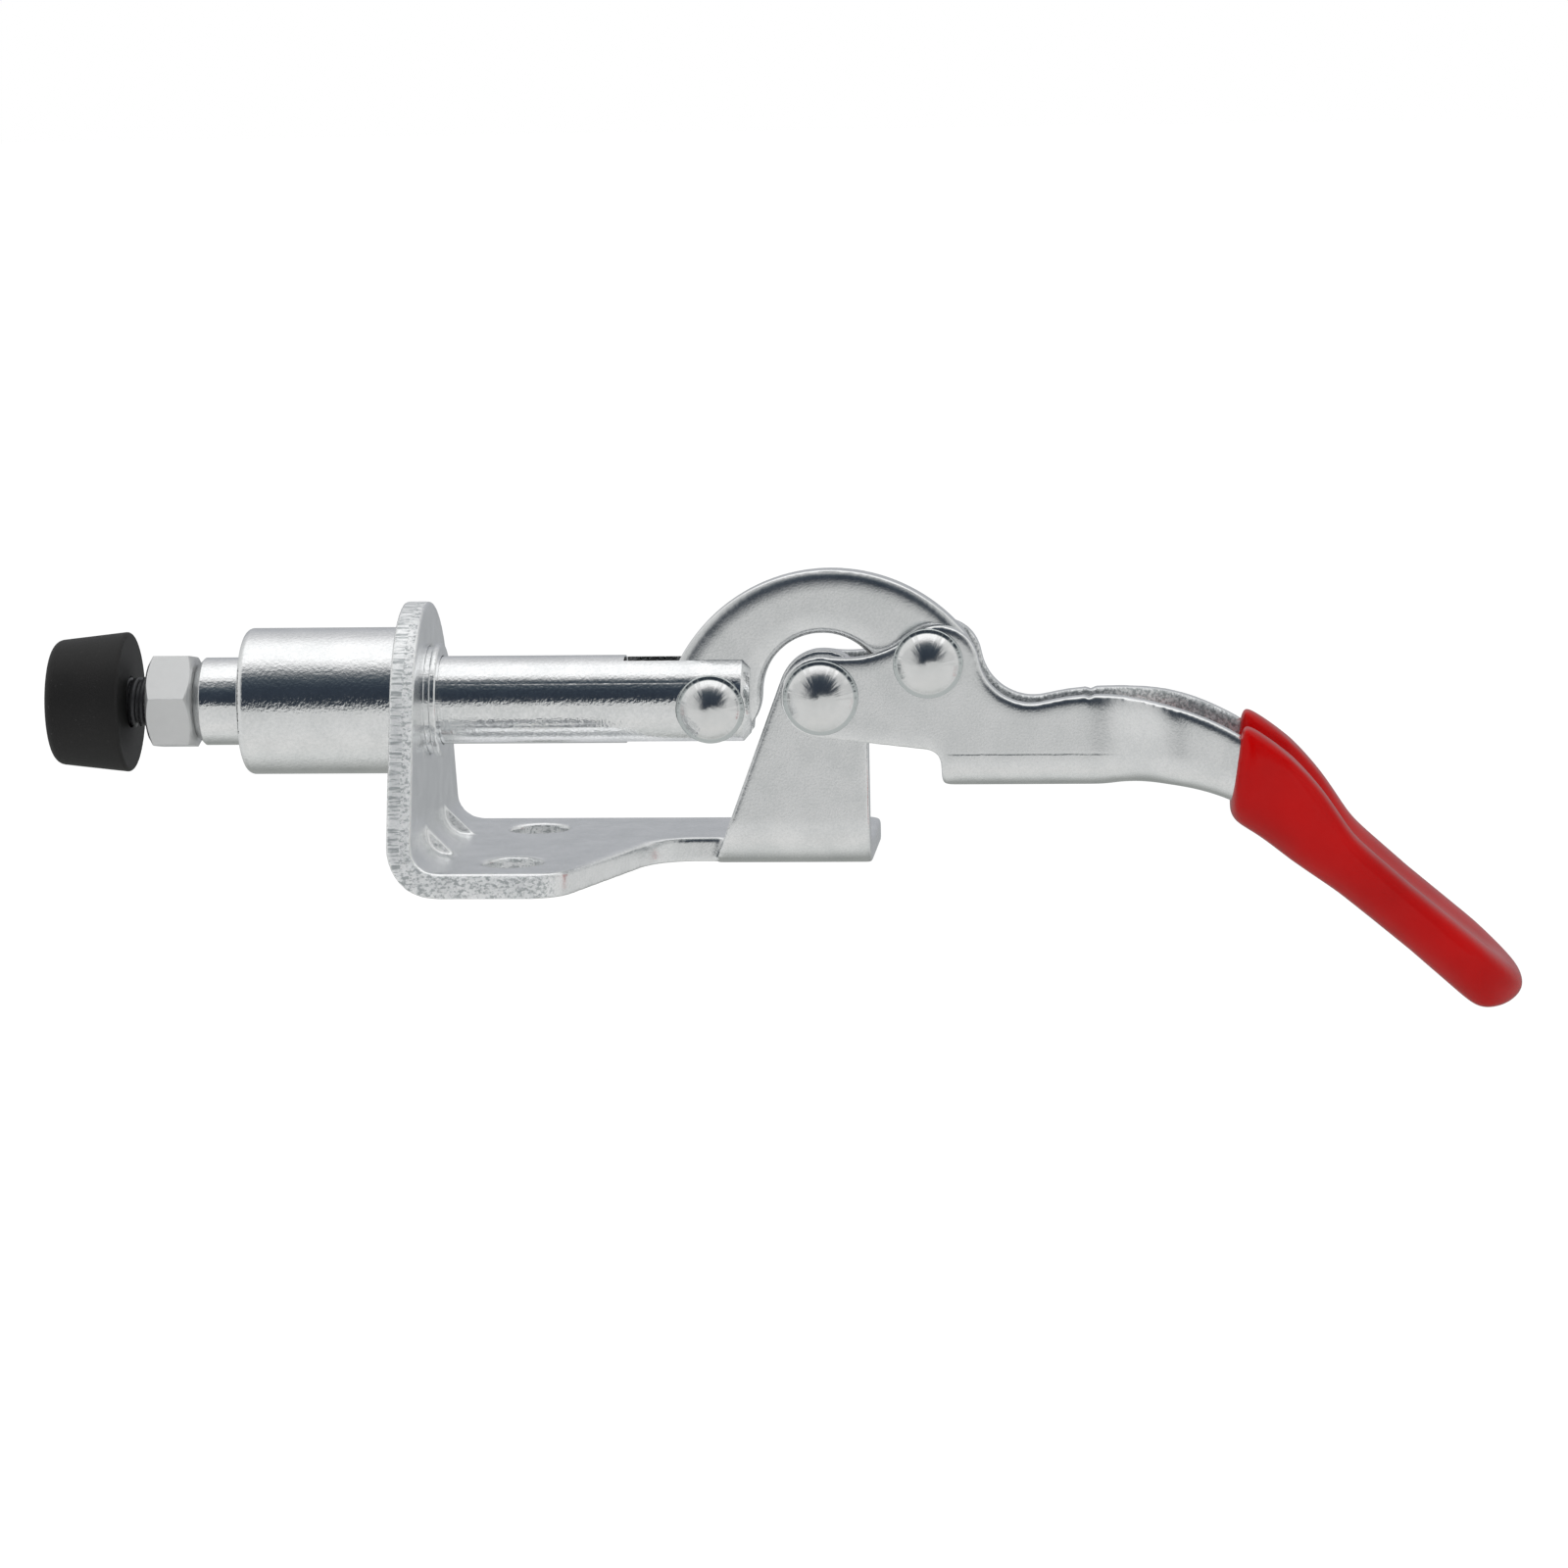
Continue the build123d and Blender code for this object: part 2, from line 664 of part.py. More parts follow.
# rivets
def rivet_end(centre, shank, head, shank_from, head_from, side_sign):
    """Half a rivet: its shank from one depth to the head, and a domed head."""
    rise = head_rise - head_rim
    dome = (head**2 / 4 + rise**2) / (2 * rise)
    halfway = asin(head / 2 / dome) / 2
    outline = (
        Polyline((0, shank_from - head_from), (shank / 2, shank_from - head_from), (shank / 2, 0))
        + Polyline((shank / 2, 0), (head / 2, 0), (head / 2, head_rim))
        + ThreePointArc(
            (head / 2, head_rim),
            (dome * sin(halfway), head_rise - dome * (1 - cos(halfway))),
            (0, head_rise),
        )
        + Line((0, head_rise), (0, shank_from - head_from))
    )
    half = revolve(make_face(outline), Axis.Y)
    half = Plane((centre.X, side_sign * head_from, centre.Z), x_dir=(1, 0, 0), z_dir=(0, 0, side_sign)) * half
    return half


def rivet(centre, shank, head, head_from, shank_from=0.0):
    ends = [rivet_end(centre, shank, head, shank_from, head_from, sign) for sign in (-1, 1)]
    return ends[0] + ends[1]


if __name__ == "__main__":
    os.makedirs("parts", exist_ok=True)
    pieces = {
        "base_bracket": base_bracket(),
        "guide_barrel": guide_barrel(),
        "plunger": plunger(),
        "lock_nut": lock_nut(),
        "spindle": spindle(),
        "rubber_tip": rubber_tip(),
        "toggle_link": toggle_link(),
        "handle_channel": handle_channel(),
        "grip": grip(),
        "handle_pivot_rivet": rivet(frame_pivot, frame_rivet, frame_rivet_head, side_half),
        "link_pivot_rivet": rivet(link_pivot, link_rivet, link_rivet_head, side_half),
        "plunger_pivot_rivet": rivet(
            plunger_pivot,
            plunger_rivet,
            plunger_rivet_head,
            plunger_diameter / 2 - rivet_seat,
            plunger_slot / 2,
        ),
    }
    for name, shape in pieces.items():
        export_step(shape, f"parts/{name}.step")
        print(name, len(shape.solids()), round(shape.volume, 1))
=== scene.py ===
import bpy
import bmesh
import json
import math
from mathutils import Matrix, Vector, kdtree


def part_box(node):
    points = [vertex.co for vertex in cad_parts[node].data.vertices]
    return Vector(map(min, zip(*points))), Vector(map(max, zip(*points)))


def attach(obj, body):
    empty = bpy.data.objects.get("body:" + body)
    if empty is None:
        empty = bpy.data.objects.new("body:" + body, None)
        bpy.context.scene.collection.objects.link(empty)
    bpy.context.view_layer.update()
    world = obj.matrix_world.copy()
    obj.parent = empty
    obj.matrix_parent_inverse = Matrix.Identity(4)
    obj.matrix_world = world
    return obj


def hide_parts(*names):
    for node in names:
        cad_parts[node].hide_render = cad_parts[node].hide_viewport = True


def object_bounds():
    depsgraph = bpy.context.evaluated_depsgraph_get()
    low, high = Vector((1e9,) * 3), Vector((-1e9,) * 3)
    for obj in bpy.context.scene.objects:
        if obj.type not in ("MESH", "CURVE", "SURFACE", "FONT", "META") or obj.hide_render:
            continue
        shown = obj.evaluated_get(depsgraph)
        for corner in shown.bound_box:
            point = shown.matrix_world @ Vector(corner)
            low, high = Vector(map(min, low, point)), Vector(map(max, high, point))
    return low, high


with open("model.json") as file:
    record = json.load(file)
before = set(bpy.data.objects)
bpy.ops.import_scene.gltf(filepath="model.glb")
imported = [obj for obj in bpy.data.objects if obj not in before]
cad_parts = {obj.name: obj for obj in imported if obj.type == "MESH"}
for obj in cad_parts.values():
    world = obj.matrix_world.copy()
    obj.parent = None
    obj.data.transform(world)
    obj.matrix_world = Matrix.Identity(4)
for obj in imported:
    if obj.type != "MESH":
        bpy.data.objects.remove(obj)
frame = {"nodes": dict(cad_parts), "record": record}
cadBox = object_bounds()
nodes = frame["nodes"]
mm = 0.001
bodyOf = {n: b for b, members in frame["record"]["behaviour"]["bodies"].items() for n in members}
slotOf = {s["node"]: s["material_slot"] for s in frame["record"]["subparts"]}
print("frame loaded:", len(nodes), "nodes")


# shader nodes
class Wire:
    def __init__(self, paint, socket):
        self.paint, self.socket = paint, socket

    def maths(self, operation, *terms):
        return self.paint.node("ShaderNodeMath", {"operation": operation}, dict(enumerate(terms)))

    def __add__(self, other):
        return self.maths("ADD", self, other)

    def __sub__(self, other):
        return self.maths("SUBTRACT", self, other)

    def __mul__(self, other):
        return self.maths("MULTIPLY", self, other)

    def __truediv__(self, other):
        return self.maths("DIVIDE", self, other)

    def __rsub__(self, other):
        return self.maths("SUBTRACT", other, self)

    def __gt__(self, other):
        return self.maths("GREATER_THAN", self, other)

    def __lt__(self, other):
        return self.maths("LESS_THAN", self, other)

    def __abs__(self):
        return self.maths("ABSOLUTE", self)

    __radd__, __rmul__ = __add__, __mul__


class Paint:  # a material's, a world's or a geometry group's nodes
    def __init__(self, owner):
        self.owner, self.tree = owner, owner
        if not isinstance(owner, bpy.types.NodeTree):
            owner.use_nodes = True
            self.tree = owner.node_tree

    def node(self, kind, settings=None, values=None, out=0):
        made = self.tree.nodes.new(kind)
        for key, value in (settings or {}).items():
            if key == "stops":
                self.fillRamp(made.color_ramp, value)
            else:
                setattr(made, key, value)
        for key, value in (values or {}).items():
            self.put(made.inputs[key], value)
        return Wire(self, made.outputs[out]) if made.outputs else made

    def put(self, socket, value):
        if isinstance(value, Wire):
            self.tree.links.new(value.socket, socket)
        else:
            socket.default_value = value

    def fillRamp(self, ramp, stops):
        while len(ramp.elements) < len(stops):
            ramp.elements.new(1.0)
        for element, (place, colour) in zip(ramp.elements, stops):
            element.position, element.color = place, (*colour, 1.0)

    def axes(self, vector):
        split = self.node("ShaderNodeSeparateXYZ", None, {0: vector})
        return [Wire(self, out) for out in split.socket.node.outputs]

    def place(self):
        return self.node("ShaderNodeTexCoord", out="Object")

    def stretch(self, vector, scale):
        return self.node("ShaderNodeVectorMath", {"operation": "MULTIPLY"}, {0: vector, 1: scale})

    def noise(self, vector, grain, detail=2.0, roughness=0.5):  # grain is the size of a lump in mm
        values = {"Vector": vector, "Scale": 1 / (grain * mm), "Detail": detail, "Roughness": roughness}
        return self.node("ShaderNodeTexNoise", None, values)

    def smooth(self, value, low, high):  # 0 at low, 1 at high
        values = {"Value": value, 1: low, 2: high}
        return self.node("ShaderNodeMapRange", {"interpolation_type": "SMOOTHSTEP"}, values)

    def mix(self, share, first, second):  # of two colours
        values = {0: share, 6: first, 7: second}
        return self.node("ShaderNodeMix", {"data_type": "RGBA"}, values, out=2)

    def bump(self, height, depth):  # depth in mm
        return self.node("ShaderNodeBump", None, {"Height": height, "Distance": depth * mm, "Strength": 1.0})

    def look(self, **values):  # the principled shader's sockets
        for key, value in values.items():
            self.put(self.shader.inputs[key.replace("_", " ")], value)
        return self


def newMaterial(name, **values):
    paint = Paint(bpy.data.materials.new(name))
    paint.shader = paint.tree.nodes["Principled BSDF"]
    return paint.look(**values)


def colour(red, green, blue):
    return (red, green, blue, 1.0)


# materials
zincLook = {
    "tone": (0.96, 0.965, 0.97),
    "shade": (0.80, 0.815, 0.82),
    # dark colour for the cut edge's striations, and painted shade along the handle's crease and on its far
    # plate's inner face
    "grainAndShade": (0.30, 0.33, 0.34),
    "speck": 0.16,       # size of a lump, mm
    "cloud": 2.4,
    "sheetRough": 0.22,
    "sheetDepth": 0.006,
    "turnedRough": 0.10,
    "turnedDepth": 0.022,
    "ring": 0.12,        # the lathe's marks, mm
}


def platedSteel(paint, place, rough, depth, relief=0.0, dark=0.0, frost=0.0, grain=1.0):
    speck = paint.noise(place, zincLook["speck"] * grain, 2.0, 0.55)
    cloud = paint.noise(place, zincLook["cloud"], 3.0, 0.55)
    share = paint.smooth(cloud * 0.5 + speck * 0.5, 0.30, 0.70)
    tone = paint.mix(share, colour(*zincLook["shade"]), colour(*zincLook["tone"]))
    # dark mixes in the dark colour: grain on the cut edges, painted shade in the handle's crease and on its
    # inner face
    return paint.look(
        Base_Color=paint.mix(dark, tone, colour(*zincLook["grainAndShade"])),
        Metallic=1.0 - frost,
        Roughness=speck * 0.07 + cloud * 0.05 + rough - 0.06,
        Normal=paint.bump(speck + cloud * 0.3 + relief, depth),
    )


def zincSheet(name):
    paint = newMaterial(name)
    return platedSteel(paint, paint.place(), zincLook["sheetRough"], zincLook["sheetDepth"])


def zincTurned(name):
    paint = newMaterial(name)
    place = paint.place()
    rings = paint.noise(paint.stretch(place, (1.0, 0.02, 0.02)), zincLook["ring"], 2.0, 0.6)
    depth = zincLook["turnedDepth"]
    return platedSteel(paint, place, zincLook["turnedRough"], depth, relief=rings * 0.02, grain=1.5)


shearLook = {
    "front": -8.75,      # x range of the upright plate's cut edge, mm
    "back": -6.9,
    "burnish": 0.55,     # share of the plate that the punch burnished
    "wander": 0.5,       # of the line between burnished and torn, mm
    "end": 4.0,          # x where the flange's cut edge turns smooth, mm
    "stria": 0.20,
    "tear": 0.24,
    "rough": 0.24,       # added to the sheet's own
    "depth": 0.009,
    "dark": 0.75,
    "frost": 0.28,       # share of the metal's shine that the cut edge lacks
}


def shearedSheet(name):  # the folded base: cut edges burnished in front and torn behind
    paint = newMaterial(name)
    place = paint.place()
    x = paint.axes(place)[0]
    facing = paint.axes(paint.node("ShaderNodeNewGeometry", out="Normal"))
    upright = paint.smooth(abs(facing[0]), 0.45, 0.25) * (x < (shearLook["back"] + 0.1) * mm)
    bottom = paint.smooth(facing[1], -0.75, -0.88) * (x < shearLook["end"] * mm)
    edge = upright.maths("MAXIMUM", upright, bottom)
    split = shearLook["front"] + shearLook["burnish"] * (shearLook["back"] - shearLook["front"])
    wander = paint.noise(place, 1.4, 2.0) * shearLook["wander"] - shearLook["wander"] / 2
    torn = paint.smooth(x + wander * mm, (split - 0.05) * mm, (split + 0.05) * mm)
    stria = paint.noise(paint.stretch(place, (0.10, 1.0, 1.0)), shearLook["stria"], 3.0, 0.7)
    tear = paint.noise(paint.stretch(place, (0.6, 1.0, 1.0)), shearLook["tear"], 4.0, 0.75)
    grain = stria * (1 - torn) + tear * torn
    relief = edge * (stria * (1 - torn) * 5.0 + tear * torn * 9.0)
    dark = edge * paint.smooth(grain, 0.46, 0.60) * shearLook["dark"]
    rough = zincLook["sheetRough"] + edge * shearLook["rough"]
    frost = edge * shearLook["frost"]
    return platedSteel(paint, place, rough, shearLook["depth"], relief, dark, frost)


creaseLook = {
    "height": 9.02,      # z of the web's bend, mm
    "waver": 0.12,
    "half": 0.07,        # half the crease's width, mm
    "start": 31.6,       # x where it starts and ends, mm
    "end": 46.5,
    "fade": 6.0,
    "crease": 1.7,
    "wall": 1.0,         # the far plate lies beyond this y, mm
    "coarse": 0.30,
    "rough": 0.22,
    "depth": 0.008,
}


def creasedSheet(name):  # the folded handle: a fine crease at the web's bend with painted shade along it, and coarse grain inside with speckled painted shade on the far plate's inner face
    size = creaseLook
    paint = newMaterial(name)
    place = paint.place()
    x, y, z = paint.axes(place)
    facing = paint.axes(paint.node("ShaderNodeNewGeometry", out="Normal"))
    off = abs(z - size["height"] * mm - (paint.noise(place, 1.2) - 0.5) * size["waver"] * mm)
    run = paint.smooth(x, size["start"] * mm, (size["start"] + 1) * mm)
    run = run * (1 - paint.smooth(x, (size["end"] - size["fade"]) * mm, size["end"] * mm))
    line = (1 - paint.smooth(off, 0.0, size["half"] * 2 * mm)) * run
    under = run * (z < size["height"] * mm)
    inside = (y > size["wall"] * mm) * paint.smooth(facing[1], -0.3, -0.6)
    coarse = paint.noise(place, size["coarse"], 3.0, 0.7)
    relief = coarse * (under * 1.6 + inside * 7.0) - line * size["crease"]
    # painted shade: a darker line along the crease, and darker speckles on the far plate's inner face between
    # the plates
    dark = line * 0.18 + inside * paint.smooth(coarse, 0.40, 0.60) * 0.8
    rough = zincLook["sheetRough"] + inside * size["rough"]
    return platedSteel(paint, place, rough, size["depth"], relief, dark)


nutLook = {"shade": (0.49, 0.495, 0.495), "tone": (0.53, 0.535, 0.535), "metal": 0.45, "haze": 0.7}


def brightNut(name):
    paint = newMaterial(name)
    haze = paint.noise(paint.place(), nutLook["haze"], 2.0)
    return paint.look(
        Base_Color=paint.mix(haze, colour(*nutLook["shade"]), colour(*nutLook["tone"])),
        Metallic=nutLook["metal"],
        Roughness=haze * 0.06 + 0.10,
        Normal=paint.bump(haze, 0.006),
    )


rivetLook = {
    "shade": (0.80, 0.81, 0.81),
    "tone": (0.90, 0.90, 0.90),
    # the brim colour is painted shade, a contact shadow round the head's foot
    "brim": (0.50, 0.55, 0.55),
    "brimShadowStart": 0.38,   # inwards from the head's rim, mm
    "brimShadowFull": 0.28,
    "streaks": 3.6,
    "streakRelief": 9.0,
    "depth": 0.014,
}


def rivetSteel(name, centre, radius):  # a formed head: streaks run out from the middle, and painted shade darkens the brim's outer ring
    size = rivetLook
    paint = newMaterial(name)
    place = paint.place()
    axes = paint.axes(place)
    flat = paint.node("ShaderNodeCombineXYZ", None, {0: axes[0] - centre.x, 2: axes[2] - centre.z})
    spoke = paint.node("ShaderNodeVectorMath", {"operation": "NORMALIZE"}, {0: flat})
    reach = paint.node("ShaderNodeVectorMath", {"operation": "LENGTH"}, {0: flat}, out="Value")
    values = {"Vector": spoke, "Scale": size["streaks"], "Detail": 2.0}
    streak = paint.node("ShaderNodeTexNoise", None, values) * paint.smooth(reach, 0.9 * mm, 2.0 * mm)
    haze = paint.noise(place, 0.6, 2.0)
    speck = paint.noise(place, 0.14, 2.0)
    tone = paint.mix(haze, colour(*size["shade"]), colour(*size["tone"]))
    # painted shade: the brim's outer ring turns darker, as a contact shadow
    brim = paint.smooth(reach, (radius - size["brimShadowStart"]) * mm, (radius - size["brimShadowFull"]) * mm) * 0.7
    return paint.look(
        Base_Color=paint.mix(brim, tone, colour(*size["brim"])),
        Metallic=1.0,
        Roughness=0.13 + haze * 0.07 + streak * 0.08,
        Normal=paint.bump(haze + speck * 0.3 + streak * size["streakRelief"], size["depth"]),
    )


def darkSteel(name):
    paint = newMaterial(name)
    speck = paint.noise(paint.place(), 0.15, 3.0)
    return paint.look(
        Base_Color=paint.mix(speck, colour(0.030, 0.031, 0.034), colour(0.075, 0.076, 0.08)),
        Metallic=0.6,
        Roughness=0.32 + speck * 0.1,
        Normal=paint.bump(speck, 0.01),
    )


rubberLook = {
    "shade": (0.0035, 0.0035, 0.0035),
    "tone": (0.007, 0.0066, 0.0066),
    "dust": (0.045, 0.043, 0.043),
    "grain": 0.10,
    "dustGrain": 0.28,
    "bloom": 2.2,
    "depth": 0.020,
}


def blackRubber(name):
    size = rubberLook
    paint = newMaterial(name, Specular_IOR_Level=0.36)
    place = paint.place()
    grain = paint.noise(place, size["grain"], 3.0, 0.65)
    dust = paint.smooth(paint.noise(place, size["dustGrain"], 2.0), 0.66, 0.80)
    bloom = paint.noise(place, size["bloom"], 3.0)
    tone = paint.mix(bloom, colour(*size["shade"]), colour(*size["tone"]))
    return paint.look(
        Base_Color=paint.mix(dust * 0.4, tone, colour(*size["dust"])),
        Roughness=0.50 + grain * 0.14,
        Normal=paint.bump(grain + bloom * 0.8, size["depth"]),
    )


dipLook = {"shade": (0.32, 0.0, 0.0), "tone": (0.39, 0.0, 0.0), "peel": 1.5, "grain": 0.25, "cloud": 7.0}


def redDip(name):
    paint = newMaterial(name, Coat_Roughness=0.05, IOR=1.38, Specular_IOR_Level=0.18)
    place = paint.place()
    peel, grain, cloud = (paint.noise(place, dipLook[k], 2.0) for k in ("peel", "grain", "cloud"))
    share = paint.smooth(cloud, 0.3, 0.7)
    return paint.look(
        Base_Color=paint.mix(share, colour(*dipLook["shade"]), colour(*dipLook["tone"])),
        Roughness=0.26 + grain * 0.08,
        Coat_Weight=0.10 + peel * 0.12,
        Normal=paint.bump(peel, 0.030),
    )


finishes = {
    "zinc_sheet": zincSheet("platedSheet"),
    "zinc_turned": zincTurned("platedBar"),
    "bright_nut": brightNut("brightNut"),
    "dark_steel": darkSteel("blackenedSteel"),
    "black_rubber": blackRubber("mouldedRubber"),
    "red_dip": redDip("dippedVinyl"),
}
print("materials made:", len(finishes))


# meshes
mergeSizes = {"weld": 0.0015, "shortest": 0.0005, "flat": 0.2}  # mm, mm and degrees


def inScene(name, data):
    piece = bpy.data.objects.new(name, data)
    bpy.context.scene.collection.objects.link(piece)
    return piece


def fromBuild(name, build):  # a new piece from a finished bmesh
    mesh = bpy.data.meshes.new(name)
    build.to_mesh(mesh)
    build.free()
    return inScene(name, mesh)


def mergedCopy(node, name):  # a clean copy of a node's mesh, with its flat faces whole
    source = bmesh.new()
    source.from_mesh(nodes[node].data)
    bmesh.ops.remove_doubles(source, verts=source.verts, dist=mergeSizes["weld"] * mm)
    bmesh.ops.dissolve_degenerate(source, edges=source.edges, dist=mergeSizes["shortest"] * mm)
    flat = math.radians(mergeSizes["flat"])
    bmesh.ops.dissolve_limit(source, angle_limit=flat, verts=source.verts, edges=source.edges)
    return fromBuild(name, source)


def addModifier(piece, kind, **settings):
    modifier = piece.modifiers.new(kind.lower(), kind)
    for key, value in settings.items():
        setattr(modifier, key, value)
    return modifier


def makePlain(piece):  # the modifiers' result as the piece's own mesh
    graph = bpy.context.evaluated_depsgraph_get()
    mesh = bpy.data.meshes.new_from_object(
        piece.evaluated_get(graph), preserve_all_data_layers=True, depsgraph=graph
    )
    old = piece.data
    piece.modifiers.clear()
    piece.data = mesh
    bpy.data.meshes.remove(old)
    return piece


def evenShading(piece, weight):  # large faces lead the shading of the small ones beside them
    addModifier(piece, "WEIGHTED_NORMAL", keep_sharp=False, weight=weight)
    return makePlain(piece)


bevelSizes = {"segments": 3, "angle": 32, "shading": 60}


def roundEdges(piece, width):
    piece.data.shade_smooth()
    addModifier(
        piece, "BEVEL", width=width * mm, segments=bevelSizes["segments"], limit_method="ANGLE",
        angle_limit=math.radians(bevelSizes["angle"]), use_clamp_overlap=True, harden_normals=False,
        miter_outer="MITER_ARC",
    )
    return evenShading(piece, bevelSizes["shading"])


def softened(piece, voxel, passes):  # one even mesh, with its edges rolled over by smoothing
    addModifier(piece, "REMESH", mode="VOXEL", voxel_size=voxel * mm, use_smooth_shade=True)
    addModifier(piece, "SMOOTH", factor=0.5, iterations=passes)
    makePlain(piece)
    piece.data.shade_smooth()
    return piece


def clamped(share):
    return min(max(share, 0.0), 1.0)


rimSizes = {
    "edge": 0.35,        # a cut edge's normals have less than this along y
    "blend": 0.40,       # and a flat side's have this much more
    "smoothing": 10,
}


def rollRims(piece, width, drop):  # the side faces dip towards their outline, as a press leaves them
    vertices = piece.data.vertices
    sides = [v.index for v in vertices if abs(v.normal.y) < rimSizes["edge"]]
    tree = kdtree.KDTree(len(sides))
    for index in sides:
        tree.insert(vertices[index].co, index)
    tree.balance()
    dips = []
    for vertex in vertices:
        flat = clamped((abs(vertex.normal.y) - rimSizes["edge"]) / rimSizes["blend"])
        reach = tree.find(vertex.co)[2] / mm
        dips.append(flat * drop * max(1 - reach / width, 0.0) ** 2 * math.copysign(1, vertex.normal.y))
    for vertex, dip in zip(vertices, dips):
        vertex.co.y -= dip * mm
    addModifier(piece, "SMOOTH", factor=0.5, iterations=rimSizes["smoothing"])
    makePlain(piece)
    piece.data.shade_smooth()


nick = {"x": 42.5, "half": 0.40, "deep": 0.17, "fade": 1.4}  # a small press mark on both plates' top edge


def nickEdges(piece):
    near = [v for v in piece.data.vertices if abs(v.co.x / mm - nick["x"]) < nick["half"]]
    for side in (-1, 1):
        edge = [v for v in near if v.co.y * side > 0]
        top = max(v.co.z for v in edge)
        for vertex in edge:
            share = 1 - abs(vertex.co.x / mm - nick["x"]) / nick["half"]
            below = max(1 - (top - vertex.co.z) / mm / nick["fade"], 0.0)
            vertex.co.z -= nick["deep"] * share * below * mm


def settle(piece, node, finish=None):
    piece.data.materials.clear()
    piece.data.materials.append((finish or finishes[slotOf[node]]).owner)
    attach(piece, bodyOf[node])
    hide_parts(node)
    print("piece", piece.name, len(piece.data.polygons), "faces")
    return piece


edgeRounds = {  # node: its piece, and the rounding of the edges that the solid leaves sharp, in mm
    "guide_barrel": ("guideBarrel", 0.10),
    "plunger": ("plungerRod", 0.16),
    "lock_nut": ("hexNut", 0.30),
    "rubber_tip": ("bumperTip", 0.06),
}
# node: its piece, voxel in mm, smoothing passes, rolled rim's width and drop in mm, finish of its own
rolledSheets = {
    "base_bracket": ("foldedBase", 0.17, 7, 0, 0, shearedSheet("shearedBase")),
    "toggle_link": ("hookLink", 0.12, 20, 1.60, 0.20, None),
    "handle_channel": ("handleChannel", 0.16, 18, 1.20, 0.10, creasedSheet("creasedHandle")),
}

for node, (name, width) in edgeRounds.items():
    settle(roundEdges(mergedCopy(node, name), width), node)
for node, (name, voxel, passes, width, drop, finish) in rolledSheets.items():
    sheet = softened(mergedCopy(node, name), voxel, passes)
    if width:
        rollRims(sheet, width, drop)
    if node == "handle_channel":
        nickEdges(sheet)
    settle(sheet, node, finish)
print("metal pieces dressed")


# rivets with a brim round the dome
rivetSizes = {
    "head": 1.45,       # height of a head, mm
    "dome": 1.00,       # rise of the dome over the brim
    "brimWidth": 0.36,
    "brimRound": 0.12,
    "brimFall": 0.10,   # from the dome's foot to the brim's top
    "gutter": ((0.06, 0.05), (0.14, 0.08)),  # out from and down from the dome's foot
    "shank": 0.55,      # share of the head's radius
    "stub": 1.25,       # y where the plunger rivet's stubs end
    "domeSteps": 18,
    "brimSteps": 3,
    "turns": 96,
    "shading": 40,
}


def headProfile(radius):  # (radius, height) from the dome's top down to the brim's foot, in mm
    size = rivetSizes
    inner = radius - size["brimWidth"]
    ball = (inner**2 + size["dome"] ** 2) / (2 * size["dome"])
    slope = math.asin(inner / ball)
    base = size["head"] - size["dome"]
    points = []
    for step in range(size["domeSteps"] + 1):
        turn = slope * step / size["domeSteps"]
        points.append((ball * math.sin(turn), base + size["dome"] - ball * (1 - math.cos(turn))))
    points += [(inner + out, base - down) for out, down in size["gutter"]]
    for step in range(size["brimSteps"] + 1):
        turn = math.radians(90 - 90 / size["brimSteps"] * step)
        points.append((
            radius - size["brimRound"] * (1 - math.cos(turn)),
            base - size["brimFall"] - size["brimRound"] * (1 - math.sin(turn)),
        ))
    points.append((radius, 0.0))
    return points


def lathe(name, centre, profiles):  # closed bodies turned about the cross axis through the centre
    build = bmesh.new()
    turns = rivetSizes["turns"]
    for profile in profiles:
        rings = []
        for radius, across in profile:
            if radius < 1e-6:
                rings.append([build.verts.new((centre.x, across * mm, centre.z))])
                continue
            ring = []
            for step in range(turns):
                turn = 2 * math.pi * step / turns
                x, z = radius * mm * math.cos(turn), radius * mm * math.sin(turn)
                ring.append(build.verts.new((centre.x + x, across * mm, centre.z + z)))
            rings.append(ring)
        for first, second in zip(rings, rings[1:]):
            for step in range(turns):
                after = (step + 1) % turns
                if len(first) == 1:
                    build.faces.new((first[0], second[step], second[after]))
                elif len(second) == 1:
                    build.faces.new((first[step], second[0], first[after]))
                else:
                    build.faces.new((first[step], second[step], second[after], first[after]))
    bmesh.ops.recalc_face_normals(build, faces=build.faces)
    piece = fromBuild(name, build)
    piece.data.shade_smooth()
    return piece


def domedRivet(node, name):
    low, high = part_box(node)
    centre = (low + high) / 2
    radius = (high.x - low.x) / 2 / mm
    seat = high.y / mm - rivetSizes["head"]
    shank = radius * rivetSizes["shank"]
    far = [(r, seat + h) for r, h in headProfile(radius)] + [(shank, seat)]
    near = [(r, -across) for r, across in reversed(far)]
    if node == "plunger_pivot_rivet":  # two stubs, one in each cheek
        stub = rivetSizes["stub"]
        profiles = [far + [(shank, stub), (0.0, stub)], [(0.0, -stub), (shank, -stub)] + near]
    else:
        profiles = [far + near]
    piece = evenShading(lathe(name, centre, profiles), rivetSizes["shading"])
    return settle(piece, node, rivetSteel(name + "Steel", centre, radius))


for node, name in (
    ("handle_pivot_rivet", "earRivet"),
    ("link_pivot_rivet", "linkRivet"),
    ("plunger_pivot_rivet", "plungerRivet"),
):
    domedRivet(node, name)
print("rivets formed")


# spindle with its thread
threadSizes = {
    "pitch": 0.7,       # mm
    "core": 1.60,       # radii
    "crest": 1.93,
    "shank": 1.96,
    "lead": 0.5,
    "edge": 0.04,
    "turnSteps": 40,
    "sides": 4,
}


